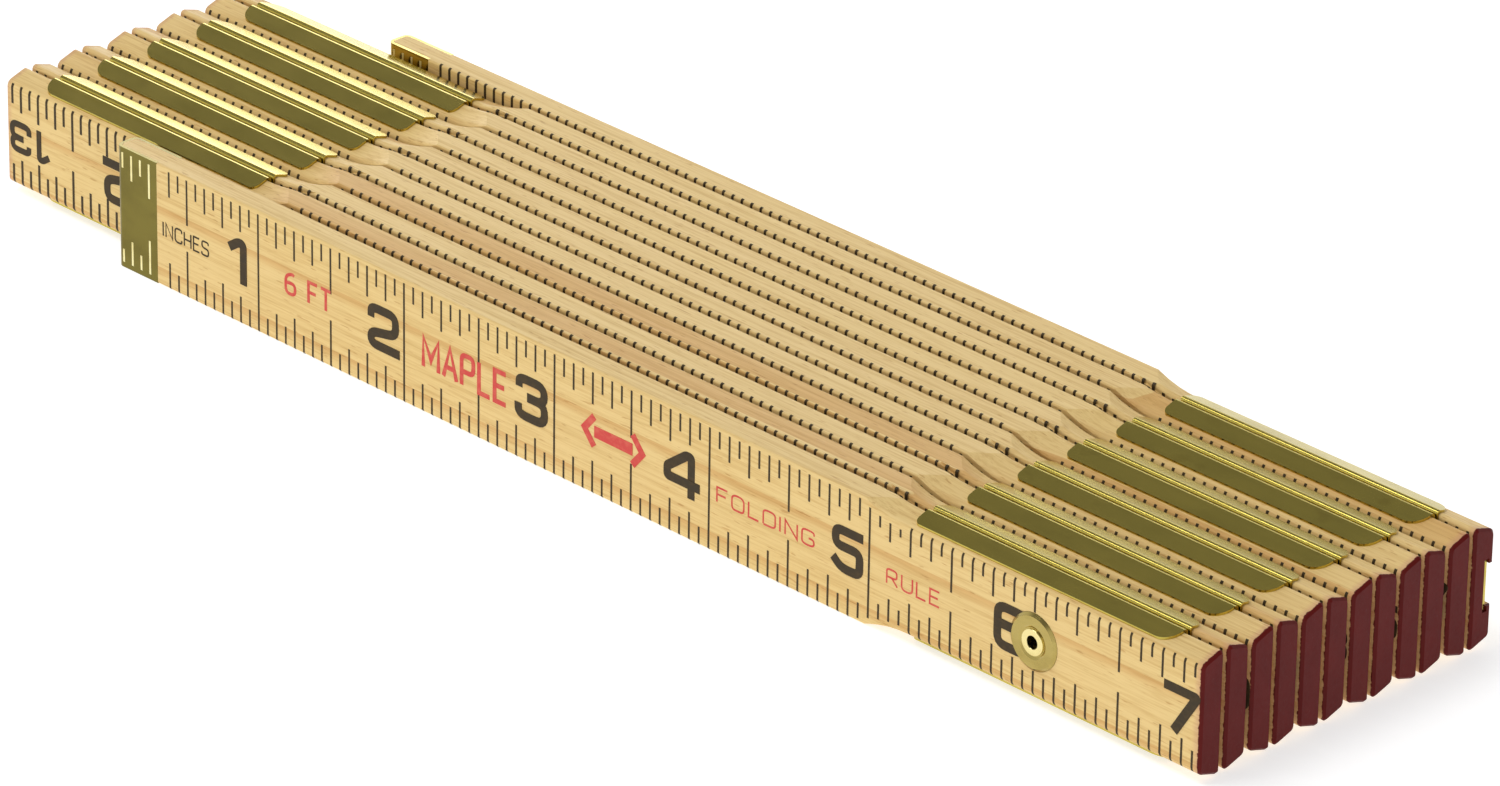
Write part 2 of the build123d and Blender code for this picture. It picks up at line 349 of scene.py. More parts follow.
# Thin capitals, on a field one unit high: stroke centre lines, corner radius and width.
THIN = {
    " ": ([], 0.0, 0.35),
    "A": ([[(0.0, 0.0), (0.31, 1.0), (0.62, 0.0)], [(0.11, 0.34), (0.51, 0.34)]], 0.0, 0.62),
    "C": ([[(0.6, 0.76), (0.6, 1.0), (0.0, 1.0), (0.0, 0.0), (0.6, 0.0), (0.6, 0.24)]], 0.26, 0.6),
    "D": ([[(0.0, 0.02), (0.0, 1.0), (0.6, 1.0), (0.6, 0.0), (0.02, 0.0)]], 0.24, 0.6),
    "E": ([[(0.52, 1.0), (0.0, 1.0), (0.0, 0.0), (0.52, 0.0)], [(0.0, 0.52), (0.44, 0.52)]], 0.0, 0.52),
    "F": ([[(0.52, 1.0), (0.0, 1.0), (0.0, 0.0)], [(0.0, 0.52), (0.44, 0.52)]], 0.0, 0.52),
    "G": (
        [[(0.6, 0.76), (0.6, 1.0), (0.0, 1.0), (0.0, 0.0), (0.6, 0.0), (0.6, 0.48), (0.34, 0.48)]],
        0.24,
        0.6,
    ),
    "H": ([[(0.0, 0.0), (0.0, 1.0)], [(0.6, 0.0), (0.6, 1.0)], [(0.0, 0.5), (0.6, 0.5)]], 0.0, 0.6),
    "I": ([[(0.0, 0.0), (0.0, 1.0)]], 0.0, 0.02),
    "L": ([[(0.0, 1.0), (0.0, 0.0), (0.5, 0.0)]], 0.0, 0.5),
    "M": ([[(0.0, 0.0), (0.0, 1.0), (0.36, 0.3), (0.72, 1.0), (0.72, 0.0)]], 0.0, 0.72),
    "N": ([[(0.0, 0.0), (0.0, 1.0), (0.6, 0.0), (0.6, 1.0)]], 0.0, 0.6),
    "O": ([[(0.3, 0.0), (0.0, 0.0), (0.0, 1.0), (0.6, 1.0), (0.6, 0.0), (0.28, 0.0)]], 0.3, 0.6),
    "P": ([[(0.0, 0.0), (0.0, 1.0), (0.56, 1.0), (0.56, 0.46), (0.02, 0.46)]], 0.2, 0.58),
    "R": (
        [[(0.0, 0.0), (0.0, 1.0), (0.56, 1.0), (0.56, 0.46), (0.02, 0.46)], [(0.28, 0.46), (0.6, 0.0)]],
        0.2,
        0.6,
    ),
    "S": (
        [
            [(0.58, 0.8), (0.58, 1.0), (0.02, 1.0), (0.02, 0.54)]
            + [(0.6, 0.48), (0.6, 0.0), (0.0, 0.0), (0.0, 0.2)],
        ],
        0.2,
        0.6,
    ),
    "T": ([[(0.0, 1.0), (0.6, 1.0)], [(0.3, 1.0), (0.3, 0.0)]], 0.0, 0.6),
    "U": ([[(0.0, 1.0), (0.0, 0.0), (0.6, 0.0), (0.6, 1.0)]], 0.28, 0.6),
    "6": (
        [[(0.52, 0.92), (0.4, 1.0), (0.0, 0.8), (0.0, 0.0), (0.58, 0.0), (0.58, 0.55), (0.06, 0.5)]],
        0.26,
        0.58,
    ),
}


@dataclass(frozen=True)
class Words:
    """One line of plain lettering: where it starts, how tall and wide it is, and the pen that draws it."""

    text: str
    start: float
    end: float
    low: float
    high: float
    pen: float
    letter_gap: float = 0.24
    lifts: int = 3

    def print_on(self, sheet: MarkSheet, face: PrintFace) -> None:
        """Prints the words.

        The letters' widths and gaps are scaled so that the line fills the run from start to end.

        Args:
            sheet: the sheet that takes the strokes.
            face: the face to print on.
        """
        widths = [THIN[letter][2] for letter in self.text]
        natural = sum(widths) + self.letter_gap * (len(self.text) - 1)
        tall = self.high - self.low
        stretch = (self.end - self.start) / natural
        place = self.start
        for index, letter in enumerate(self.text):
            strokes, radius, width = THIN[letter]
            for number, stroke in enumerate(strokes):
                line = rounded_line(np.array(stroke), radius)
                line = line * np.array([stretch, tall]) + np.array([place, self.low])
                sheet.add_stroke(face, line, self.pen, lift=FINE_LIFT * ((index + number) % self.lifts))
            place += (width + self.letter_gap) * stretch


@dataclass(frozen=True)
class NumeralStyle:
    """Size and place of the bold inch numerals."""

    height: float = 5.8 * MM
    pen: float = 1.16 * MM
    middle: float = 8.1 * MM
    letter_gap: float = 0.95 * MM
    washer_gap: float = 1.5 * MM
    pair_scale: float = 0.72
    crossing_lift: float = 0.015 * MM

    def width_of(self, digit: str) -> float:
        """Width that a digit takes up."""
        return BOLD[digit][2] * MM

    def draw(self, sheet: MarkSheet, face: PrintFace, digit: str, left: float, scale: float = 1.0) -> None:
        """Prints one digit with its left edge at a place along the face.

        Args:
            sheet: the sheet that takes the strokes.
            face: the face to print on.
            digit: the digit.
            left: u of its left edge.
            scale: size, compared with a one-digit number.
        """
        strokes, radius, _, _ = BOLD[digit]
        size = np.array([MM, self.height / BOLD_FIELD]) * scale
        low = self.middle - self.height * scale / 2
        for number, stroke in enumerate(strokes):
            line = rounded_line(np.array(stroke), radius) * size + np.array([left, low])
            sheet.add_stroke(face, line, self.pen * scale, lift=self.crossing_lift * number)

    def layout(self, number: int, line_at: float, at_washer: bool) -> list[tuple[str, float, float]]:
        """Places the digits of an inch number.

        They stand to the left of the number's line. Where a washer sits on the line, two digits stand one
        on each side of it, at full size. Elsewhere two digits are smaller.

        Args:
            number: the number of inches.
            line_at: u of the inch line.
            at_washer: whether a washer sits on that line.

        Returns:
            Each digit with u of its left edge and its scale.
        """
        digits = str(number)
        if len(digits) == 2 and at_washer:
            left = line_at - self.washer_gap - self.width_of(digits[0])
            return [(digits[0], left, 1.0), (digits[1], line_at + self.washer_gap, 1.0)]
        scale = 1.0 if len(digits) == 1 else self.pair_scale
        placed = []
        right = line_at - BOLD[digits[-1]][3] * MM
        for digit in reversed(digits):
            right -= self.width_of(digit) * scale
            placed.append((digit, right, scale))
            right -= self.letter_gap
        return placed


# ---------------------------------------------------------------------------------------------------------
# Finishes
# ---------------------------------------------------------------------------------------------------------


# What a shader's input takes: another node's output, a number, or a colour or vector.
Signal = bpy.types.NodeSocket | float | tuple


class Recipe:
    """A node material that is being wired up around one Principled shader."""

    def __init__(self, name: str) -> None:
        """Starts a material with an empty Principled shader on Object coordinates.

        Args:
            name: the material's name.
        """
        self.material = bpy.data.materials.new(name)
        self.material.use_nodes = True
        self.tree = self.material.node_tree
        self.tree.nodes.clear()
        self.surface = self.tree.nodes.new("ShaderNodeBsdfPrincipled")
        output = self.tree.nodes.new("ShaderNodeOutputMaterial")
        self.tree.links.new(self.surface.outputs["BSDF"], output.inputs["Surface"])
        self.place = self.tree.nodes.new("ShaderNodeTexCoord").outputs["Object"]

    def node(self, kind: str, settings: dict | None = None, **inputs: Signal) -> bpy.types.Node:
        """Adds a node.

        Args:
            kind: the node's Blender type, without the leading "ShaderNode".
            settings: properties to set on it.
            inputs: values or sockets for its inputs, by name with _ for a space.

        Returns:
            The new node.
        """
        made = self.tree.nodes.new("ShaderNode" + kind)
        for key, value in (settings or {}).items():
            setattr(made, key, value)
        for key, value in inputs.items():
            self.feed(made.inputs[key.replace("_", " ")], value)
        return made

    def feed(self, socket: bpy.types.NodeSocket, value: Signal) -> None:
        """Links a socket, or sets its value.

        Args:
            socket: the input.
            value: a socket to link, or a value, where a colour may leave out its alpha.
        """
        if isinstance(value, bpy.types.NodeSocket):
            self.tree.links.new(value, socket)
        elif isinstance(value, tuple) and len(value) == 3 and socket.type == "RGBA":
            socket.default_value = (*value, 1.0)
        else:
            socket.default_value = value

    def stretched(
        self, scale: tuple, shift: tuple = (0, 0, 0), turn: tuple = (0, 0, 0)
    ) -> bpy.types.NodeSocket:
        """Object coordinates, turned, shifted and scaled for a pattern."""
        made = self.node("Mapping", Vector=self.place, Location=shift, Rotation=turn, Scale=scale)
        return made.outputs["Vector"]

    def noise(
        self, where: bpy.types.NodeSocket, detail: float = 3.0, rough: float = 0.55
    ) -> bpy.types.NodeSocket:
        """Fractal noise, from 0 to 1, at one cell for each unit of its coordinates."""
        return self.node("TexNoise", Vector=where, Scale=1.0, Detail=detail, Roughness=rough).outputs["Fac"]

    def ramp(
        self, value: bpy.types.NodeSocket, low: float, high: float, to_low: float = 0.0, to_high: float = 1.0
    ) -> bpy.types.NodeSocket:
        """Smooth step of a value between two bounds.

        Args:
            value: the value.
            low: where the step starts.
            high: where the step ends.
            to_low: the result up to low.
            to_high: the result from high on.

        Returns:
            The result's socket.
        """
        made = self.node("MapRange", {"interpolation_type": "SMOOTHSTEP"}, Value=value)
        for key, number in zip(("From Min", "From Max", "To Min", "To Max"), (low, high, to_low, to_high)):
            made.inputs[key].default_value = number
        return made.outputs["Result"]

    def math(self, operation: str, first: Signal, second: Signal = 0.0) -> bpy.types.NodeSocket:
        """One arithmetic step.

        Args:
            operation: Blender's name for it.
            first: the first term.
            second: the second term, if the operation has one.

        Returns:
            The result's socket.
        """
        made = self.node("Math", {"operation": operation})
        self.feed(made.inputs[0], first)
        self.feed(made.inputs[1], second)
        return made.outputs["Value"]

    def mix(self, amount: Signal, first: Signal, second: Signal) -> bpy.types.NodeSocket:
        """Mixes two colours.

        Args:
            amount: how much of the second colour, from 0 to 1.
            first: the first colour.
            second: the second colour.

        Returns:
            The mixed colour's socket.
        """
        made = self.node("Mix", {"data_type": "RGBA"})
        self.feed(made.inputs[0], amount)
        self.feed(made.inputs[6], first)
        self.feed(made.inputs[7], second)
        return made.outputs[2]

    def darken(self, amount: Signal, colour: Signal, by: tuple) -> bpy.types.NodeSocket:
        """Multiplies a colour by another.

        Args:
            amount: how much of the product, from 0 to 1.
            colour: the colour.
            by: the colour that it is multiplied by.

        Returns:
            The darker colour's socket.
        """
        made = self.node("Mix", {"data_type": "RGBA", "blend_type": "MULTIPLY"})
        self.feed(made.inputs[0], amount)
        self.feed(made.inputs[6], colour)
        self.feed(made.inputs[7], by)
        return made.outputs[2]

    def bump(self, height: bpy.types.NodeSocket, distance: float, strength: float = 1.0) -> None:
        """Puts a bump on the surface."""
        made = self.node("Bump", Height=height, Distance=distance, Strength=strength)
        self.tree.links.new(made.outputs["Normal"], self.surface.inputs["Normal"])

    def set(self, **inputs: Signal) -> None:
        """Sets or links the shader's own inputs."""
        for key, value in inputs.items():
            self.feed(self.surface.inputs[key.replace("_", " ")], value)


@dataclass(frozen=True)
class MapleFinish:
    """Lacquered hard maple with a fine grain, and red paint on the stick's cut ends."""

    name: str
    seed: int
    light: tuple[float, float, float] = (0.82, 0.6, 0.26)
    tan: tuple[float, float, float] = (0.62, 0.39, 0.13)
    rosy: tuple[float, float, float] = (0.82, 0.6, 0.25)
    paint: tuple[float, float, float] = (0.083, 0.0045, 0.0035)
    bare_end: float = 0.2 * MM
    paint_from: float = 100.78 * MM
    rosiness: float = 0.35
    rosy_gain: float = 1.6
    late_tint: tuple[float, float, float] = (0.74, 0.5, 0.3)
    fleck_tint: tuple[float, float, float] = (0.6, 0.4, 0.22)
    fine_tint: tuple[float, float, float] = (0.7, 0.55, 0.36)
    blush_tint: tuple[float, float, float] = (0.55, 0.24, 0.17)
    broad_scale: tuple[float, float, float] = (16, 70, 55)
    streak_scale: tuple[float, float, float] = (34, 2100, 1700)
    fine_scale: tuple[float, float, float] = (160, 5200, 4200)
    fleck_scale: tuple[float, float, float] = (420, 3600, 3300)
    ring_scale: tuple[float, float, float] = (2.2, 120, 190)
    raggedness: float = 0.7 * MM
    specular: float = 0.12
    grain_depth: float = 0.03 * MM

    def material(self) -> bpy.types.Material:
        """Wires the wood.

        The colour is a pale ground with a broad rosy cast, sloping growth lines, fine lengthwise streaks
        and small dark flecks. The paint starts where the distance from the middle of the rule passes a
        ragged limit.

        Returns:
            The material.
        """
        wood = Recipe(self.name)
        draw = np.random.default_rng(self.seed)
        shift = tuple(draw.uniform(-9, 9, 3))
        slope = 1 if self.seed % 2 else -1
        tilt = (float(draw.uniform(-0.3, 0.3)), float(draw.uniform(0.03, 0.11)) * slope, 0)
        broad = wood.noise(wood.stretched(self.broad_scale, shift, tilt), 2.0)
        streaks = wood.noise(wood.stretched(self.streak_scale, shift, tilt), 4.0, 0.65)
        fine = wood.noise(wood.stretched(self.fine_scale, shift, tilt), 2.0, 0.6)
        fleck_grain = wood.noise(wood.stretched(self.fleck_scale, shift, tilt), 1.0, 0.5)
        flecks = wood.ramp(fleck_grain, 0.66, 0.76)
        ring_place = wood.stretched(self.ring_scale, shift, tilt)
        ring = wood.node("TexWave", {"bands_direction": "Z", "wave_profile": "SAW"}, Vector=ring_place)
        for key, number in (("Scale", 0.24), ("Distortion", 3.5), ("Detail", 2.0), ("Detail Scale", 0.7)):
            ring.inputs[key].default_value = number
        late = wood.ramp(ring.outputs["Fac"], 0.8, 0.99)
        rosy_amount = wood.ramp(broad, 0.35, 0.7, 0.0, self.rosiness * self.rosy_gain)
        ground = wood.mix(rosy_amount, self.light, self.rosy)
        ground = wood.mix(wood.ramp(streaks, 0.42, 0.72, 0.0, 0.5), ground, self.tan)
        ground = wood.darken(wood.math("MULTIPLY", late, 0.5), ground, self.late_tint)
        ground = wood.darken(wood.math("MULTIPLY", flecks, 0.5), ground, self.fleck_tint)
        ground = wood.darken(wood.ramp(fine, 0.45, 0.7, 0.0, 0.32), ground, self.fine_tint)
        along = wood.node("SeparateXYZ", Vector=wood.place).outputs["X"]
        leftwards = wood.math("MULTIPLY", wood.math("LESS_THAN", along, 0.0), self.bare_end)
        distance = wood.math("SUBTRACT", wood.math("ABSOLUTE", along), leftwards)
        bleed = wood.noise(wood.stretched((900, 1700, 1700), shift), 4.0, 0.7)
        reach = wood.math("ADD", distance, wood.math("MULTIPLY", bleed, self.raggedness))
        painted = wood.ramp(reach, self.paint_from + 0.30 * MM, self.paint_from + 0.42 * MM)
        blush = wood.ramp(reach, self.paint_from - 0.7 * MM, self.paint_from + 0.4 * MM, 0.0, 0.45)
        mottle = wood.noise(wood.stretched((700, 420, 260), shift), 3.0)
        paint = wood.mix(mottle, self.paint, tuple(1.5 * part for part in self.paint))
        ground = wood.mix(blush, ground, self.blush_tint)
        colour = wood.mix(painted, ground, paint)
        rough = wood.ramp(streaks, 0.3, 0.8, 0.4, 0.56)
        wood.set(Base_Color=colour, Roughness=rough)
        wood.surface.inputs["Specular IOR Level"].default_value = self.specular
        streak_height = wood.math("MULTIPLY", streaks, 0.6)
        grain_height = wood.math("SUBTRACT", streak_height, wood.math("MULTIPLY", flecks, 0.8))
        wood.bump(wood.math("ADD", grain_height, wood.math("MULTIPLY", fine, 0.4)), self.grain_depth, 0.5)
        return wood.material


@dataclass(frozen=True)
class BrassFinish:
    """Rolled and lacquered brass: drawn lines along X, smudges and small darker spots."""

    name: str
    base: tuple[float, float, float] = (0.58, 0.47, 0.1)
    tarnish: tuple[float, float, float] = (0.5, 0.4, 0.08)
    roughness: float = 0.15
    coat: float = 0.12
    drawn: tuple[float, float, float] = (60, 2400, 2400)
    spot_tint: tuple[float, float, float] = (0.6, 0.52, 0.4)
    smudged: float = 0.08
    lined: float = 0.02
    coat_roughness: float = 0.12
    line_depth: float = 0.001 * MM
    line_strength: float = 0.08

    def material(self) -> bpy.types.Material:
        """Wires the metal.

        Broad smudges mix the two tones, fine drawn lines vary the roughness and the bump, and a coat of
        lacquer lies over both.

        Returns:
            The material.
        """
        metal = Recipe(self.name)
        lines = metal.noise(metal.stretched(self.drawn), 3.0, 0.65)
        smudge = metal.noise(metal.stretched((150, 240, 240), (3, 1, 2)), 4.0, 0.6)
        spots = metal.ramp(metal.noise(metal.stretched((260, 420, 420)), 2.0), 0.6, 0.8)
        tone = metal.mix(metal.ramp(smudge, 0.4, 0.7), self.base, self.tarnish)
        tone = metal.darken(metal.math("MULTIPLY", spots, 0.25), tone, self.spot_tint)
        rough = metal.ramp(smudge, 0.3, 0.7, self.roughness, self.roughness + self.smudged)
        rough = metal.math("ADD", rough, metal.ramp(lines, 0.3, 0.7, 0.0, self.lined))
        metal.set(Base_Color=tone, Roughness=rough)
        metal.surface.inputs["Metallic"].default_value = 1.0
        metal.surface.inputs["Coat Weight"].default_value = self.coat
        metal.surface.inputs["Coat Roughness"].default_value = self.coat_roughness
        metal.bump(lines, self.line_depth, self.line_strength)
        return metal.material


@dataclass(frozen=True)
class InkFinish:
    """Printing ink pressed into the wood, a little worn where the grain stands up."""

    name: str
    ink: tuple[float, float, float]
    worn: tuple[float, float, float]
    wear: float = 0.5
    thinned: float = 0.3
    specular: float = 0.15
    grain_depth: float = 0.01 * MM

    def material(self) -> bpy.types.Material:
        """Wires the ink: two tones mixed by a fine patchy noise, and grain lines that thin it.

        Returns:
            The material.
        """
        ink = Recipe(self.name)
        patches = ink.noise(ink.stretched((900, 1100, 1100)), 4.0, 0.65)
        grain = ink.noise(ink.stretched((60, 2600, 2200)), 3.0, 0.6)
        worn_away = ink.ramp(patches, 0.4, 0.75, 0.0, self.wear)
        amount = ink.math("ADD", worn_away, ink.ramp(grain, 0.5, 0.8, 0.0, self.thinned))
        colour = ink.mix(amount, self.ink, self.worn)
        ink.set(Base_Color=colour, Roughness=ink.ramp(patches, 0.3, 0.7, 0.42, 0.62))
        ink.surface.inputs["Specular IOR Level"].default_value = self.specular
        ink.bump(grain, self.grain_depth, 0.5)
        return ink.material


# ---------------------------------------------------------------------------------------------------------
# The rule
# ---------------------------------------------------------------------------------------------------------


@dataclass
class Stick:
    """One maple stick with the scale printed on its two faces."""

    number: int
    last: int
    fold: float = FOLD
    softening: float = 0.25 * MM
    tick_width: float = 0.3 * MM
    inner_tick_width: float = 0.4 * MM
    bleed: float = 0.1 * MM
    raised_share: float = 0.2
    plate_reach: float = 19.6 * MM
    bevel_reach: float = 19.4 * MM
    outer_bevel_drop: float = 1.91 * MM
    contact_bevel_drop: float = 0.75 * MM
    bevel_round: float = 0.9 * MM
    bevel_cosine: float = 0.953
    cutter_radius: float = 20.0 * MM
    washer_radius: float = 3.6 * MM
    washer_near: float = 0.5 * MM
    track_half_width: float = 2.75 * MM
    sixteenth_length: float = 0.087 * INCH
    eighth_length: float = 0.133 * INCH
    quarter_length: float = 0.157 * INCH
    half_length: float = 0.233 * INCH
    length_scatter: float = 0.05 * MM
    limit_scatter: float = 0.01 * MM
    left_margin: float = 0.45 * MM
    right_margin: float = 0.55 * MM
    front_gap: float = 0.45 * MM
    least_gap: float = 0.1 * MM
    least_length: float = 0.35 * MM
    shallow_cut: float = 0.02 * MM
    flat_margin: float = 0.08 * MM
    wrapped: float = 0.64
    share_lengths: tuple[float, float] = (2.2 * MM, 5.9 * MM)
    shares: tuple[float, float] = (0.95, 0.4)
    short_bleed: float = 0.02 * MM
    steepest: float = 88.0
    bleed_from: float = 60.0
    bent_from: float = 8.0
    round_points: int = 4
    numeral_margin: float = 0.1 * MM

    def __post_init__(self) -> None:
        """Reads the stick's place from the frame."""
        self.node = f"stick_{self.number:02d}"
        self.body = f"{self.node}_assembly"
        low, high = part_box(self.node)
        self.left, self.right = low.x, high.x
        self.faces = {Side.FRONT: low.y, Side.BACK: high.y}
        self.width = high.z - low.z
        self.free_end = self.number in (1, self.last)
        if self.free_end:
            self.left = min(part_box("zero_end_tip")[1].x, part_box("slide_end_tip")[1].x)

    def joint_side(self, joint: int) -> Side | None:
        """The face that a joint of this stick lies against.

        Args:
            joint: the joint's number.

        Returns:
            The face, or None if the joint isn't there.
        """
        if not 1 <= joint < self.last:
            return None
        return Side.BACK if joint == self.number else Side.FRONT

    def joint_at(self, pivot: int) -> int:
        """The joint at an end: odd joints are at the right.

        Args:
            pivot: +1 for the right end, -1 for the left.

        Returns:
            The joint's number.
        """
        odd = self.number if self.number % 2 else self.number - 1
        even = self.number - 1 if self.number % 2 else self.number
        return odd if pivot > 0 else even

    def reads(self, side: Side) -> int:
        """The direction along X in which a face's numbers grow."""
        towards_right = 1 if self.number % 2 else -1
        return towards_right if side is Side.FRONT else -towards_right

    def print_face(self, side: Side) -> PrintFace:
        """A face's coordinates, from the left pivot, or from the right one where the scale runs leftwards.

        Args:
            side: the face.

        Returns:
            The face to print on.
        """
        reads = self.reads(side)
        out = side.value
        low_edge = 0.0 if out * reads < 0 else self.width
        return PrintFace((-reads * self.fold / 2, self.faces[side], low_edge), reads, out)

    def first_inch(self, side: Side) -> int:
        """Inches at the start of the face's scale."""
        if side is Side.FRONT:
            return 6 * (self.number - 1)
        return 6 * (self.last - self.number)

    def edge_drop(self, side: Side, x: np.ndarray) -> tuple[np.ndarray, np.ndarray]:
        """How far the flat of a face ends below the stick's edge, and the round that follows it.

        Near a joint it is the bevel's drop. Inboard of the bevel the cutter left the wood on an arc, so the
        drop shrinks by the radius less the root of radius squared minus distance squared, over the bevel's
        cosine.

        Args:
            side: the face.
            x: places along X, metres.

        Returns:
            The drops, at least the softened edge, and the radii of the rounds above them, both in metres.
        """
        drop = np.full_like(x, self.softening)
        radius = np.full_like(x, self.softening)
        for pivot in (-1, 1):
            lies = self.joint_side(self.joint_at(pivot))
            if lies is None:
                continue
            full = self.contact_bevel_drop if lies is side else self.outer_bevel_drop
            inboard = (self.fold / 2 - self.bevel_reach) - pivot * x
            clear = np.clip(inboard, 0.0, self.cutter_radius)
            rise = (self.cutter_radius - np.sqrt(self.cutter_radius**2 - clear**2)) / self.bevel_cosine
            deeper = full - rise > drop
            drop = np.where(deeper, full - rise, drop)
            radius = np.where(deeper, np.minimum(self.bevel_round, drop), radius)
        return drop, radius

    def hidden(self, side: Side, x: np.ndarray) -> np.ndarray:
        """Whether a joint plate covers the face.

        Args:
            side: the face.
            x: places along X, metres.

        Returns:
            True at the covered places.
        """
        covered = np.zeros(x.shape, bool)
        for pivot in (-1, 1):
            if self.joint_side(self.joint_at(pivot)) is side:
                covered |= np.abs(x - pivot * self.fold / 2) < self.plate_reach
        return covered

    def washer_pivots(self, side: Side) -> list[int]:
        """The ends at which a washer lies on the face."""
        return [p for p in (-1, 1) if self.joint_side(self.joint_at(p)) not in (None, side)]

    def tick_lengths(self, sixteenths: np.ndarray) -> np.ndarray:
        """Length of each tick: quarters are longer than eighths, and halves longer than quarters.

        Args:
            sixteenths: (n,) sixteenths of an inch along the scale.

        Returns:
            (n,) lengths, metres.
        """
        lengths = np.full(sixteenths.shape, self.sixteenth_length)
        lengths[sixteenths % 2 == 0] = self.eighth_length
        lengths[sixteenths % 4 == 0] = self.quarter_length
        lengths[sixteenths % 8 == 0] = self.half_length
        return lengths

    def print_ticks(self, sheet: MarkSheet, side: Side, top_gap: float, low_gap: float) -> None:
        """Prints both rows of ticks and the inch lines.

        A tick runs inwards from its limit, a depth below its edge of the wood. Away from the bevels the
        limit is the gap, and the tick follows the softened edge down to it. Where a bevel has cut the face,
        the limit is a small margin inside the flat, or part of the way round the bevel's edge where the
        bevel is at its deepest. There a tick also ends further in, by a share of what is cut away. Inch
        lines run to the middle of the face, and stop short of a washer or of the slide's track.

        Args:
            sheet: the sheet that takes the ticks.
            side: the face.
            top_gap: gap between the wood's +Z edge and the print.
            low_gap: gap between the wood's -Z edge and the print.
        """
        face = self.print_face(side)
        draw = np.random.default_rng(100 * self.number + side.value + 1)
        step = INCH / SIXTEENTHS
        ends = np.array([self.left + self.left_margin, self.right - self.right_margin])
        first = math.ceil((ends[0] + self.fold / 2) / step)
        final = math.floor((ends[1] + self.fold / 2) / step)
        along = np.arange(first, final + 1)
        x = along * step - self.fold / 2
        shown = ~self.hidden(side, x)
        along, x = along[shown], x[shown]
        count = along if face.reads > 0 else 6 * SIXTEENTHS - along
        u = face.reads * (x - face.origin[0])
        drop, radius = self.edge_drop(side, x)
        lengths = self.tick_lengths(count) + draw.normal(0.0, self.length_scatter, len(x))
        inch = count % SIXTEENTHS == 0
        tracked = self.number == self.last and side is Side.BACK
        if tracked:
            lengths = np.minimum(lengths, self.width / 2 - self.track_half_width)
        for top in (True, False):
            gap = top_gap if top else low_gap
            limit = gap + draw.uniform(0.0, self.limit_scatter, len(x))
            if side is Side.BACK:
                limit = np.maximum(limit, self.softening / 2)
            cut = drop - self.softening
            limit = np.where(cut > self.shallow_cut, drop + self.flat_margin, limit)
            deepest = drop > self.outer_bevel_drop - self.shallow_cut
            limit = np.where(deepest, drop - self.wrapped * radius, limit)
            share = np.interp(lengths, self.share_lengths, self.shares) if gap == 0 else self.raised_share
            stop = lengths + max(gap, self.least_gap) + cut * share
            stop = np.where(inch, self.width / 2, stop)
            if tracked:
                stop = np.where(inch, self.width / 2 - self.track_half_width, stop)
            for pivot in self.washer_pivots(side):
                away = np.abs(x - pivot * self.fold / 2)
                stop = np.where(away < self.washer_near, self.width / 2 - self.washer_radius, stop)
            flip = top != (face.origin[2] < self.width / 2)
            self.add_row(sheet, face, u, np.stack([stop, drop, radius, limit], axis=1), flip)

    def add_row(
        self, sheet: MarkSheet, face: PrintFace, u: np.ndarray, shape: np.ndarray, flip: bool
    ) -> None:
        """Adds one row of ticks.

        A tick runs from its inner end straight to where the flat stops, and then round the edge: its depth
        is the drop less the radius times the sine of the angle, and its height the radius times the cosine
        less one. The last angle's sine is the drop less the limit, over the radius. A tick that goes all
        the way round runs on a little over the edge.

        Args:
            sheet: the sheet that takes the ticks.
            face: the face.
            u: (n,) places of the ticks.
            shape: (n, 4) inner end, drop, radius and limit of each, measured from the edge.
            flip: whether the row is at the low edge of the face's own v.
        """
        kept = shape[:, 0] > np.maximum(shape[:, 1], shape[:, 3]) + self.least_length
        u, shape = u[kept], shape[kept]
        stop, drop, radius, limit = shape.T
        last = np.arcsin(np.clip((drop - limit) / radius, 0.0, math.sin(math.radians(self.steepest))))
        bleed = np.where(last > math.radians(self.bleed_from), self.bleed, self.short_bleed)
        for bent in (False, True):
            chosen = (last > math.radians(self.bent_from)) == bent
            steps = np.linspace(0.0, 1.0, self.round_points) if bent else np.zeros(1)
            angle = last[chosen, None] * steps
            round_ = radius[chosen, None]
            depth = np.maximum(drop, limit)[chosen, None] if not bent else drop[chosen, None]
            edge = np.stack([depth - round_ * np.sin(angle), round_ * (np.cos(angle) - 1)], axis=-1)
            inner = np.stack([stop[chosen], np.zeros(chosen.sum())], axis=1)[:, None]
            out = np.stack([-np.sin(angle), np.cos(angle)], axis=-1)
            if bent:
                over = edge[:, -1:] + out[:, -1:, ::-1] * [-1, 1] * bleed[chosen, None, None]
                edge = np.concatenate([edge, over], axis=1)
                out = np.concatenate([out, out[:, -1:]], axis=1)
            line = np.concatenate([inner, edge], axis=1)
            out = np.concatenate([np.broadcast_to([[[0.0, 1.0]]], inner.shape), out], axis=1)
            if flip:
                line, out = line[:, ::-1], out[:, ::-1]
            else:
                line, out = line * [-1, 1] + [self.width, 0], out * [-1, 1]
            exposed = self.number == 1 and face.outward < 0
            width = self.tick_width if exposed else self.inner_tick_width
            sheet.add_ticks(face, u[chosen], line, out, width)

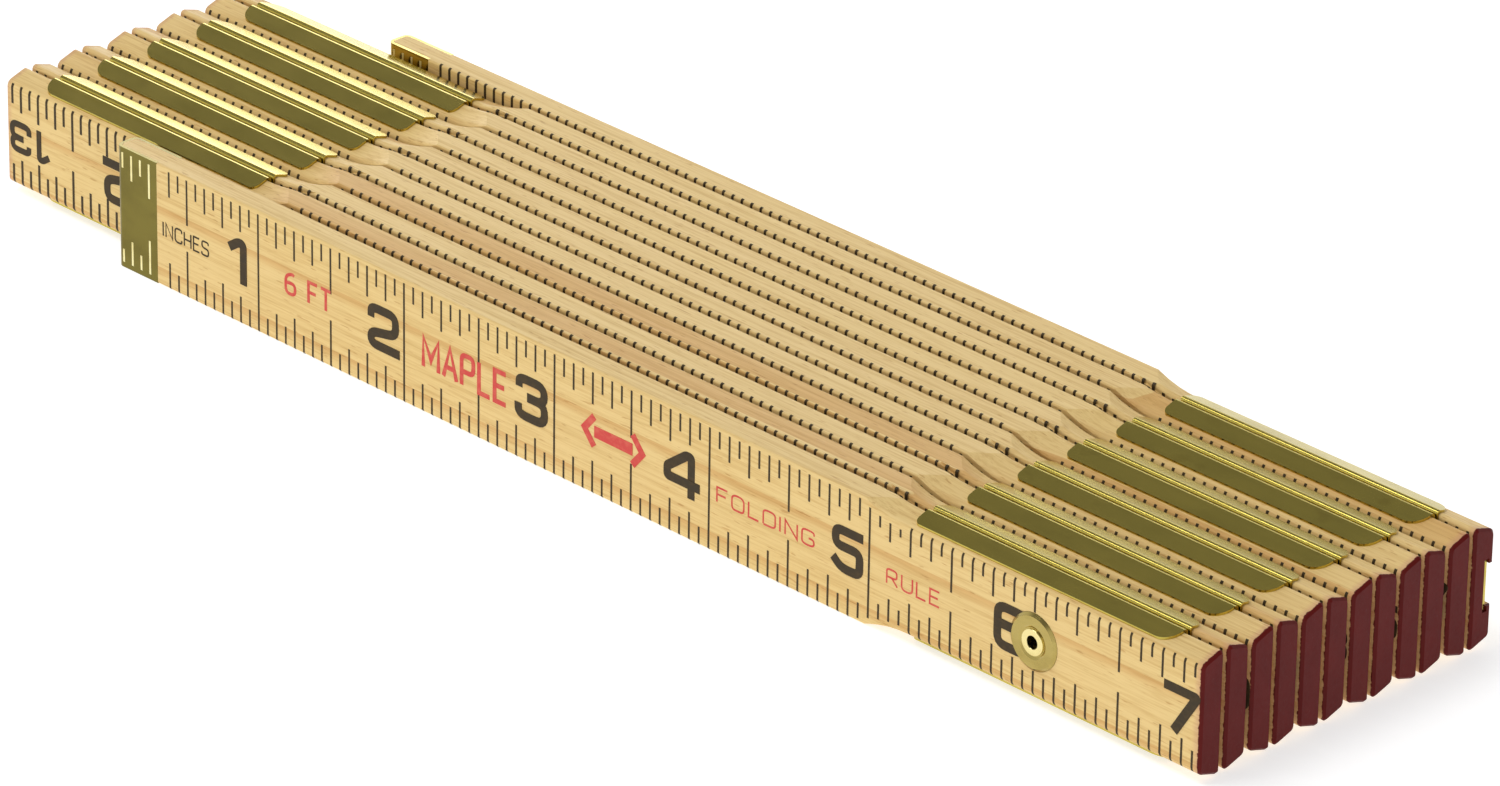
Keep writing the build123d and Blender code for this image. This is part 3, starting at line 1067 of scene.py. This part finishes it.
    def print_numerals(self, sheet: MarkSheet, side: Side, style: NumeralStyle) -> None:
        """Prints the inch numbers that fit on the wood and that no plate covers.

        Args:
            sheet: the sheet that takes the strokes.
            side: the face.
            style: the numerals' size and place.
        """
        if self.number == self.last and side is Side.BACK:
            return
        face = self.print_face(side)
        for step in range(-1, 8):
            inches = self.first_inch(side) + step
            if not 1 <= inches < 6 * self.last:
                continue
            line_at = step * INCH
            x = face.origin[0] + face.reads * line_at
            at_washer = any(abs(x - pivot * self.fold / 2) < MM for pivot in self.washer_pivots(side))
            for digit, left, scale in style.layout(inches, line_at, at_washer):
                ends = face.origin[0] + face.reads * np.array([left, left + style.width_of(digit) * scale])
                margin = self.numeral_margin
                fits = ends.min() > self.left + margin and ends.max() < self.right - margin
                if fits and not self.hidden(side, ends).any():
                    style.draw(sheet, face, digit, left, scale)

    def dress(self, maple: bpy.types.Material, ink: bpy.types.Material, style: NumeralStyle) -> None:
        """Gives the wood its finish and prints its two faces.

        Args:
            maple: the wood's material.
            ink: the print's material.
            style: the numerals' size and place.
        """
        clothe(self.node, maple)
        LOG.info("%s: maple", self.node)
        for side in Side:
            sheet = MarkSheet(f"{self.node}_{side.name.lower()}_scale")
            exposed = self.number == 1 and side is Side.FRONT
            self.print_ticks(sheet, side, self.front_gap if exposed else 0.0, 0.0)
            self.print_numerals(sheet, side, style)
            if exposed:
                span = {"start": 0.33 * INCH, "end": 0.65 * INCH}
                unit = Words("INCHES", **span, low=6.7 * MM, high=8.5 * MM, pen=0.22 * MM)
                unit.print_on(sheet, self.print_face(side))
            sheet.make(self.body, ink)


@dataclass
class FrontWords:
    """The red lettering on the first stick, all of it plain words, and a double-headed arrow."""

    stick: Stick
    small_low: float = 6.55 * MM
    small_high: float = 8.4 * MM
    small_pen: float = 0.23 * MM
    arrow_left: float = 3.17 * INCH
    arrow_right: float = 3.6 * INCH
    arrow_middle: float = 8.0 * MM
    chevron_rise: float = 1.9 * MM
    chevron_run: float = 2.3 * MM
    chevron_point: float = 0.7 * MM
    bar_pen: float = 1.5 * MM
    chevron_pen: float = 0.9 * MM

    def lines(self) -> list[Words]:
        """The words and where each stands."""
        small = {"low": self.small_low, "high": self.small_high, "pen": self.small_pen}
        return [
            Words("6 FT", start=1.19 * INCH, end=1.5 * INCH, low=7.0 * MM, high=9.7 * MM, pen=0.42 * MM),
            Words("MAPLE", start=2.13 * INCH, end=2.68 * INCH, low=5.9 * MM, high=9.8 * MM, pen=0.62 * MM),
            Words("FOLDING", start=4.05 * INCH, end=4.66 * INCH, **small),
            Words("RULE", start=5.11 * INCH, end=5.43 * INCH, **small),
        ]

    def arrow(self) -> list[tuple[np.ndarray, float]]:
        """A bold bar with a chevron at each end, the second one the first mirrored.

        Returns:
            Three centre lines, each with its width.
        """
        left, right, middle = self.arrow_left, self.arrow_right, self.arrow_middle
        rise, run, point = self.chevron_rise, self.chevron_run, self.chevron_point
        bar = np.array([(left + run, middle), (right - run, middle)])
        first = np.array([(left + run, middle + rise), (left + point, middle), (left + run, middle - rise)])
        second = first * [-1, 1] + [left + right, 0]
        return [(bar, self.bar_pen), (first, self.chevron_pen), (second, self.chevron_pen)]

    def dress(self, ink: bpy.types.Material) -> None:
        """Prints the words and the arrow.

        Args:
            ink: the print's material.
        """
        face = self.stick.print_face(Side.FRONT)
        sheet = MarkSheet(f"{self.stick.node}_words")
        for words in self.lines():
            words.print_on(sheet, face)
        for number, (line, width) in enumerate(self.arrow()):
            sheet.add_stroke(face, line, width, lift=FINE_LIFT * number)
        sheet.make(self.stick.body, ink)


@dataclass
class Tip:
    """A brass end cap with four engraved lines at each edge of its faces."""

    node: str
    body: str
    outwards: tuple[int, ...]
    line_width: float = 0.32 * MM
    bend: float = 0.75 * MM
    first_line: float = 0.72
    upper_lengths: tuple[float, ...] = (2.7, 4.0, 2.8, 5.2)
    lower_lengths: tuple[float, ...] = (2.4, 3.8, 2.6, 5.1)
    bend_angles: tuple[float, ...] = (0.0, 20.0, 40.0, 60.0, 80.0)

    def dress(self, brass: bpy.types.Material, engraving: bpy.types.Material) -> None:
        """Gives the cap its brass and engraves it.

        A line runs straight to the bend at the cap's edge and then a little way round it: its depth is the
        bend's radius less its radius times the sine of the angle, and its height the radius times the
        cosine less one.

        Args:
            brass: the cap's material.
            engraving: the lines' material.
        """
        clothe(self.node, brass)
        low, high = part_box(self.node)
        sheet = MarkSheet(f"{self.node}_marks", proud=FINE_PROUD)
        count = len(self.upper_lengths)
        u = (np.arange(count) + self.first_line) * INCH / SIXTEENTHS
        height = high.z - low.z
        angle = np.radians(self.bend_angles)
        edge = np.stack([self.bend * (1 - np.sin(angle)), self.bend * (np.cos(angle) - 1)], axis=1)
        normal = np.concatenate([[[0.0, 1.0]], np.stack([-np.sin(angle), np.cos(angle)], axis=1)])
        for outward in self.outwards:
            origin = (-FOLD / 2, low.y, low.z) if outward < 0 else (-FOLD / 2, high.y, high.z)
            face = PrintFace(origin, 1, outward)
            for is_top, lengths in ((True, self.upper_lengths), (False, self.lower_lengths)):
                ends = np.stack([np.array(lengths) * MM, np.zeros(count)], axis=1)[:, None]
                line = np.concatenate([ends, np.broadcast_to(edge, (count, *edge.shape))], axis=1)
                out = np.broadcast_to(normal, line.shape)
                if is_top == (outward < 0):
                    line, out = line * [-1, 1] + [height, 0], out * [-1, 1]
                else:
                    line, out = line[:, ::-1], out[:, ::-1]
                sheet.add_ticks(face, u, line, out, self.line_width)
        sheet.make(self.body, engraving)
        LOG.info("%s: brass cap, engraved", self.node)


@dataclass
class Slide:
    """The brass extension slide with its own six inches of graduations."""

    node: str = "extension_slide"
    body: str = "slide"
    line_width: float = 0.2 * MM
    numeral_height: float = 2.6 * MM
    numeral_pen: float = 0.42 * MM
    numeral_gap: float = 0.7 * MM
    numeral_middle: float = 0.6
    inch_share: float = 0.9
    margin: float = 0.12 * MM
    inches: int = 6

    def dress(self, brass: bpy.types.Material, ink: bpy.types.Material) -> None:
        """Gives the slide its brass and prints its scale.

        Args:
            brass: the slide's material.
            ink: the print's material.
        """
        clothe(self.node, brass)
        low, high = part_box(self.node)
        face = PrintFace((low.x, high.y, high.z), 1, 1)
        height = high.z - low.z
        sheet = MarkSheet("extension_slide_scale", proud=FINE_PROUD)
        count = np.arange(1, self.inches * SIXTEENTHS + 1)
        u = count * INCH / SIXTEENTHS
        lengths = np.full(u.shape, 0.05 * INCH)
        for every, share in ((2, 0.07), (4, 0.09), (8, 0.12)):
            lengths[count % every == 0] = share * INCH
        lengths[count % SIXTEENTHS == 0] = height * self.inch_share
        start = np.full(u.shape, self.margin)
        near = np.stack([np.stack([start, 0 * u], 1), np.stack([start + lengths, 0 * u], 1)], 1)
        out = np.broadcast_to([[0.0, 1.0], [0.0, 1.0]], (len(u), 2, 2))
        sheet.add_ticks(face, u, near, out, self.line_width)
        middle = height * self.numeral_middle
        style = NumeralStyle(height=self.numeral_height, pen=self.numeral_pen, middle=middle)
        for inch in range(1, self.inches + 1):
            digit = str(inch)
            strokes, radius, width, _ = BOLD[digit]
            scale = self.numeral_height / BOLD_FIELD
            left = inch * INCH - (width * scale + self.numeral_gap)
            place = np.array([left, style.middle - style.height / 2])
            for number, stroke in enumerate(strokes):
                line = rounded_line(np.array(stroke), radius) * scale + place
                sheet.add_stroke(face, line, style.pen, lift=FINE_LIFT * number)
        sheet.make(self.body, ink)
        LOG.info("%s: brass, with a printed scale", self.node)


@dataclass
class Joints:
    """The eleven spring joints: plates, rivets and washers."""

    nodes: dict[str, bpy.types.Object]

    def dress(self, plate: bpy.types.Material, washer: bpy.types.Material, rivet: bpy.types.Material) -> None:
        """Gives each kind of piece its own brass.

        Args:
            plate: the plates' material.
            washer: the washers' material.
            rivet: the rivets' material.
        """
        for name in sorted(self.nodes):
            if "_plate_" in name:
                clothe(name, plate)
                LOG.info("%s: rolled brass", name)
            elif name.endswith(("_rivet", "_washers")):
                clothe(name, rivet if name.endswith("_rivet") else washer)
                LOG.info("%s: turned brass", name)


def clothe(node: str, material: bpy.types.Material) -> None:
    """Puts one material in all of a node's slots.

    Args:
        node: the node's name.
        material: the material.
    """
    piece = frame["nodes"][node]
    if not piece.material_slots:
        piece.data.materials.append(material)
    for slot in piece.material_slots:
        slot.material = material


# ---------------------------------------------------------------------------------------------------------
# The studio
# ---------------------------------------------------------------------------------------------------------


@dataclass
class Studio:
    """A white floor, soft lamps, a room that is bright near the horizon, and the camera."""

    floor_size: float = 8.0
    floor_steps: int = 9
    camera_at: tuple[float, float, float] = (0.67711, -0.66804, 0.47612)
    forward: tuple[float, float, float] = (-0.63344, 0.63258, -0.44564)
    down: tuple[float, float, float] = (0.32688, -0.30324, -0.89509)
    lens: float = 219.0
    sensor: float = 36.0
    floor_drop: float = 0.02 * MM
    floor_greys: tuple[float, float] = (0.6, 0.63)
    floor_glow: float = 0.62
    room_heights: tuple[float, float] = (0.4, 0.64)
    room_strengths: tuple[float, float] = (0.95, 0.22)

    def build_floor(self) -> None:
        """Lays a flat sheet, as a grid of x and y at height zero."""
        side = np.linspace(-self.floor_size / 2, self.floor_size / 2, self.floor_steps)
        x, y = np.meshgrid(side, side, indexing="ij")
        vertices = np.stack([x, y, 0 * x - self.floor_drop], axis=-1).reshape(-1, 3)
        index = np.arange(self.floor_steps**2).reshape(self.floor_steps, self.floor_steps)
        quads = np.stack([index[:-1, :-1], index[1:, :-1], index[1:, 1:], index[:-1, 1:]], axis=-1)
        quads = quads.reshape(-1, 4)
        mesh = bpy.data.meshes.new("floor")
        mesh.from_pydata(vertices.tolist(), [], quads.tolist())
        paper = Recipe("white_paper")
        tooth = paper.noise(paper.stretched((300, 300, 300)), 3.0)
        darker, paler = self.floor_greys
        paper.set(Base_Color=paper.mix(tooth, (darker,) * 3, (paler,) * 3))
        paper.surface.inputs["Roughness"].default_value = 0.9
        paper.surface.inputs["Specular IOR Level"].default_value = 0.1
        paper.surface.inputs["Emission Color"].default_value = (1.0, 1.0, 1.0, 1.0)
        paper.surface.inputs["Emission Strength"].default_value = self.floor_glow
        mesh.materials.append(paper.material)
        floor = bpy.data.objects.new("floor", mesh)
        bpy.context.scene.collection.objects.link(floor)

    def hang_lamp(self, name: str, place: tuple, size: tuple, power: float) -> None:
        """Hangs one soft lamp that faces the rule.

        Args:
            name: the lamp's name.
            place: its place, metres.
            size: its two sides, metres.
            power: its power, watts.
        """
        light = bpy.data.lights.new(name, "AREA")
        light.shape = "RECTANGLE"
        light.size, light.size_y = size
        light.energy = power
        lamp = bpy.data.objects.new(name, light)
        lamp.location = place
        lamp.rotation_euler = (-Vector(place)).to_track_quat("-Z", "Y").to_euler()
        bpy.context.scene.collection.objects.link(lamp)

    def fill_room(self) -> None:
        """Lights the room: bright at the horizon and dimmer overhead, by the height of the direction."""
        world = bpy.data.worlds.new("studio")
        bpy.context.scene.world = world
        world.use_nodes = True
        tree = world.node_tree
        background = tree.nodes["Background"]
        background.inputs["Color"].default_value = (1.0, 1.0, 1.0, 1.0)
        where = tree.nodes.new("ShaderNodeTexCoord")
        split = tree.nodes.new("ShaderNodeSeparateXYZ")
        height = tree.nodes.new("ShaderNodeMapRange")
        height.interpolation_type = "SMOOTHSTEP"
        tree.links.new(where.outputs["Generated"], split.inputs["Vector"])
        tree.links.new(split.outputs["Z"], height.inputs["Value"])
        for key, number in zip(("From Min", "From Max"), self.room_heights):
            height.inputs[key].default_value = number
        for key, number in zip(("To Min", "To Max"), self.room_strengths):
            height.inputs[key].default_value = number
        tree.links.new(height.outputs["Result"], background.inputs["Strength"])

    def place_camera(self) -> None:
        """Stands the camera: its axes are right, up and backwards."""
        camera = bpy.data.cameras.new("camera")
        camera.lens = self.lens
        camera.sensor_width = self.sensor
        camera.sensor_fit = "HORIZONTAL"
        camera.clip_start = 0.01
        camera.clip_end = 50.0
        back = -Vector(self.forward).normalized()
        up = -Vector(self.down)
        right = up.cross(back).normalized()
        up = back.cross(right)
        turn = Matrix((right, up, back)).transposed().to_4x4()
        holder = bpy.data.objects.new("camera", camera)
        holder.matrix_world = Matrix.Translation(self.camera_at) @ turn
        bpy.context.scene.collection.objects.link(holder)
        bpy.context.scene.camera = holder

    def build(self) -> None:
        """Builds the whole studio."""
        self.build_floor()
        self.fill_room()
        self.hang_lamp("key_lamp", (-0.6, -0.6, 1.85), (1.1, 1.1), 19.0)
        self.hang_lamp("rim_lamp", (-1.6, 0.9, 0.5), (1.3, 0.9), 9.0)
        self.place_camera()
        view = bpy.context.scene.view_settings
        view.view_transform = "Standard"
        view.look = "None"
        view.exposure = 0.0
        view.gamma = 1.0


def rosiness_of(number: int) -> float:
    """How rosy a stick is: even steps from 0.2 to 0.75, out of order so that neighbours differ."""
    return 0.2 + 0.55 * ((number * 5) % 7) / 6


def main() -> None:
    """Builds and dresses everything in order."""
    logging.basicConfig(level=logging.INFO, format="%(name)s: %(message)s")
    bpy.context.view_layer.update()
    nodes = frame["nodes"]
    last = sum(name.startswith("stick_") and name.count("_") == 1 for name in nodes)
    black = InkFinish("black_ink", (0.047, 0.033, 0.016), (0.1, 0.066, 0.03)).material()
    red = InkFinish("red_ink", (0.64, 0.07, 0.06), (0.74, 0.2, 0.13), 0.6).material()
    style = NumeralStyle()
    sticks = [Stick(number, last) for number in range(1, last + 1)]
    for stick in sticks:
        finish = MapleFinish(f"maple_{stick.number:02d}", stick.number, rosiness=rosiness_of(stick.number))
        stick.dress(finish.material(), black, style)
    FrontWords(sticks[0]).dress(red)
    plate = BrassFinish("plate_brass").material()
    turned = (900, 900, 900)
    washer = BrassFinish("washer_brass", (0.46, 0.36, 0.11), (0.38, 0.29, 0.08), drawn=turned).material()
    rivet = BrassFinish("rivet_brass", (0.86, 0.74, 0.34), (0.74, 0.6, 0.24), drawn=turned).material()
    # Painted shade: the zero-end cap's base and tarnish are far darker than brass. They stand in for a dark
    # reflection, since the cap's faces would otherwise mirror the white floor brightly.
    cap = BrassFinish("tip_brass", base=(0.19, 0.155, 0.026), tarnish=(0.16, 0.128, 0.02)).material()
    drawn = BrassFinish("slide_brass", base=(0.6, 0.48, 0.11), tarnish=(0.46, 0.36, 0.07)).material()
    engraving = BrassFinish("engraved_brass", (0.95, 0.88, 0.5), (0.85, 0.75, 0.36), roughness=0.5).material()
    Joints(nodes).dress(plate, washer, rivet)
    Tip("zero_end_tip", sticks[0].body, (-1,)).dress(cap, engraving)
    Tip("slide_end_tip", sticks[-1].body, (-1, 1)).dress(drawn, engraving)
    Slide().dress(drawn, black)
    Studio().build()


if __name__ == "__main__":
    main()
